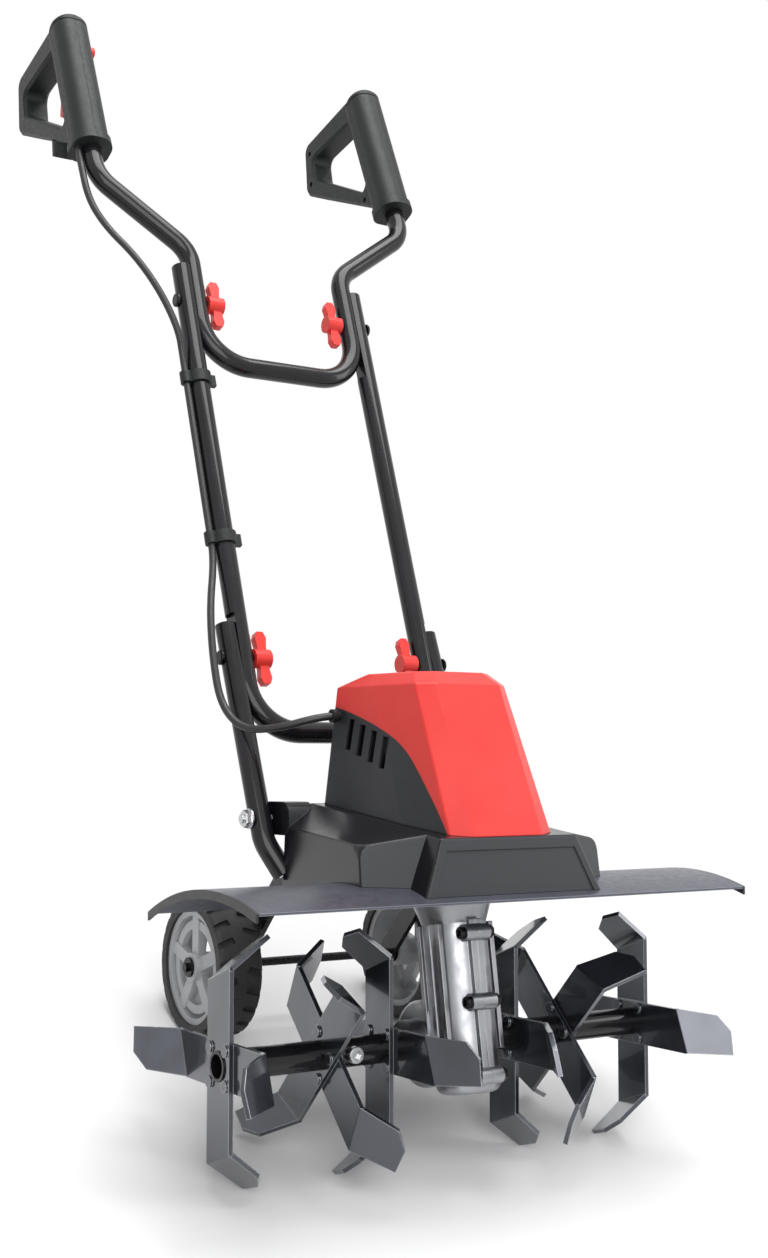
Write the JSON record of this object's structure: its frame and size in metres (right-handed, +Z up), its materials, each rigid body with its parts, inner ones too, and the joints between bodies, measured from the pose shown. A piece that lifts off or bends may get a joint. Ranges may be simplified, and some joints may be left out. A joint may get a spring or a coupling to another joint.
{
  "type": "electric tiller",
  "caption": "Electric tiller: motor housing on a curved deck, worm gearbox, tine stars below, rear wheels and a folding handle with loop grips.",
  "frame": {"origin": "centre of the machine's outline at the ground, standing on its tines and wheels", "axes": "+X to the operator's right seen from the front as picture right, -Y towards the machine's front, +Z up"},
  "size_m": [0.4848, 0.9746, 0.8838],
  "materials": {
    "black_tube": "gloss black powder coat",
    "grip_plastic": "fine-grained dark grey plastic",
    "housing_plastic": "fine-grained anthracite plastic",
    "red_plastic": "satin red plastic",
    "deck_paint": "satin blue-grey coated sheet",
    "cast_aluminium": "die-cast, blasted",
    "blade_steel": "black-coated steel",
    "steel": "zinc-plated",
    "bronze": "cut bronze",
    "fan_plastic": "moulded",
    "rubber": "smooth black rubber",
    "rim_plastic": "silver-grey plastic",
    "tyre": "moulded black tyre"
  },
  "bodies": {
    "chassis": {"deck_shield": "deck_paint", "gearbox_left_half": "cast_aluminium", "gearbox_right_half": "cast_aluminium", "gearbox_bolts": "steel", "base_cover": "housing_plastic", "motor_hood": "housing_plastic", "top_cover": "red_plastic", "motor_frame": "cast_aluminium", "motor_stator": "steel", "brush_gear": "bronze", "motor_bearings": "steel", "tine_shaft_bearings": "steel", "shaft_seals": "rubber", "lower_tube_left": "black_tube", "lower_tube_right": "black_tube", "frame_bolts": "steel", "cable_gland": "grip_plastic", "cable_lower": "rubber", "wheel_carrier": "black_tube"},
    "middle_handle": {"middle_handlebar": "black_tube", "cable_clips": "grip_plastic", "cable_middle": "rubber", "upper_pivot_bolts": "steel"},
    "upper_handle": {"upper_handlebar": "black_tube", "switch_grip_outer_shell": "grip_plastic", "switch_grip_inner_shell": "grip_plastic", "plain_grip_outer_shell": "grip_plastic", "plain_grip_inner_shell": "grip_plastic", "grip_screws": "steel", "switch_module": "grip_plastic", "mains_inlet": "grip_plastic", "trigger_pin": "steel", "cable_upper": "rubber"},
    "trigger": {"trigger": "red_plastic"},
    "lock_button": {"lock_button": "red_plastic"},
    "lower_knob_left": {"lower_knob_left": "red_plastic"},
    "lower_knob_right": {"lower_knob_right": "red_plastic"},
    "upper_knob_left": {"upper_knob_left": "red_plastic"},
    "upper_knob_right": {"upper_knob_right": "red_plastic"},
    "tines": {"tine_shaft": "steel", "worm_wheel": "bronze", "tine_tube_left": "black_tube", "tine_tube_right": "black_tube", "tine_lock_bolts": "steel", "tine_star_left_inner": "blade_steel", "tine_star_left_middle": "blade_steel", "tine_star_left_outer": "blade_steel", "tine_star_right_inner": "blade_steel", "tine_star_right_middle": "blade_steel", "tine_star_right_outer": "blade_steel"},
    "armature": {"armature_shaft": "steel", "armature_core": "steel", "cooling_fan": "fan_plastic"},
    "wheel_bracket": {"wheel_bracket": "black_tube", "wheel_axle": "steel", "axle_clips": "steel"},
    "wheel_left": {"wheel_rim_left": "rim_plastic", "wheel_tyre_left": "tyre"},
    "wheel_right": {"wheel_rim_right": "rim_plastic", "wheel_tyre_right": "tyre"}
  },
  "joints": [
    {"name": "lower_fold", "type": "hinge", "parent": "chassis", "child": "middle_handle", "pos_m": [0, -0.08821, 0.33964], "axis": [1, 0, 0], "range_deg": [0, 80], "deforming": ["cable_lower"]},
    {"name": "upper_fold", "type": "hinge", "parent": "middle_handle", "child": "upper_handle", "pos_m": [0, 0.16538, 0.62933], "axis": [1, 0, 0], "range_deg": [-140, 0], "deforming": ["cable_upper"]},
    {"name": "trigger_press", "type": "hinge", "parent": "upper_handle", "child": "trigger", "pos_m": [-0.182, 0.36187, 0.81738], "axis": [1, 0, 0], "range_deg": [-7, 0], "stiffness_Nm_per_rad": 0.3},
    {"name": "lock_press", "type": "slide", "parent": "upper_handle", "child": "lock_button", "axis": [-1, 0, 0], "range_m": [0, 0.0035], "stiffness_N_per_m": 300},
    {"name": "tine_spin", "type": "hinge", "parent": "chassis", "child": "tines", "pos_m": [0, -0.37867, 0.10127], "axis": [1, 0, 0], "continuous": true},
    {"name": "armature_spin", "type": "hinge", "parent": "chassis", "child": "armature", "pos_m": [0, -0.40601, 0.11789], "axis": [0, 0.5195, 0.8545], "continuous": true},
    {"name": "wheel_swing", "type": "hinge", "parent": "chassis", "child": "wheel_bracket", "pos_m": [0, -0.21082, 0.18375], "axis": [1, 0, 0], "range_deg": [0, 25]},
    {"name": "wheel_left_spin", "type": "hinge", "parent": "wheel_bracket", "child": "wheel_left", "pos_m": [0, -0.1605, 0.064], "axis": [1, 0, 0], "continuous": true},
    {"name": "wheel_right_spin", "type": "hinge", "parent": "wheel_bracket", "child": "wheel_right", "pos_m": [0, -0.1605, 0.064], "axis": [1, 0, 0], "continuous": true},
    {"name": "lower_knob_left_turn", "type": "hinge", "parent": "chassis", "child": "lower_knob_left", "pos_m": [0, -0.08821, 0.33964], "axis": [1, 0, 0], "continuous": true},
    {"name": "upper_knob_left_turn", "type": "hinge", "parent": "middle_handle", "child": "upper_knob_left", "pos_m": [0, 0.16538, 0.62933], "axis": [1, 0, 0], "continuous": true},
    {"name": "lower_knob_right_turn", "type": "hinge", "parent": "chassis", "child": "lower_knob_right", "pos_m": [0, -0.08821, 0.33964], "axis": [1, 0, 0], "continuous": true},
    {"name": "upper_knob_right_turn", "type": "hinge", "parent": "middle_handle", "child": "upper_knob_right", "pos_m": [0, 0.16538, 0.62933], "axis": [1, 0, 0], "continuous": true}
  ],
  "couplings": [
    {"joint": "armature_spin", "follows": "tine_spin", "ratio": 32}
  ]
}
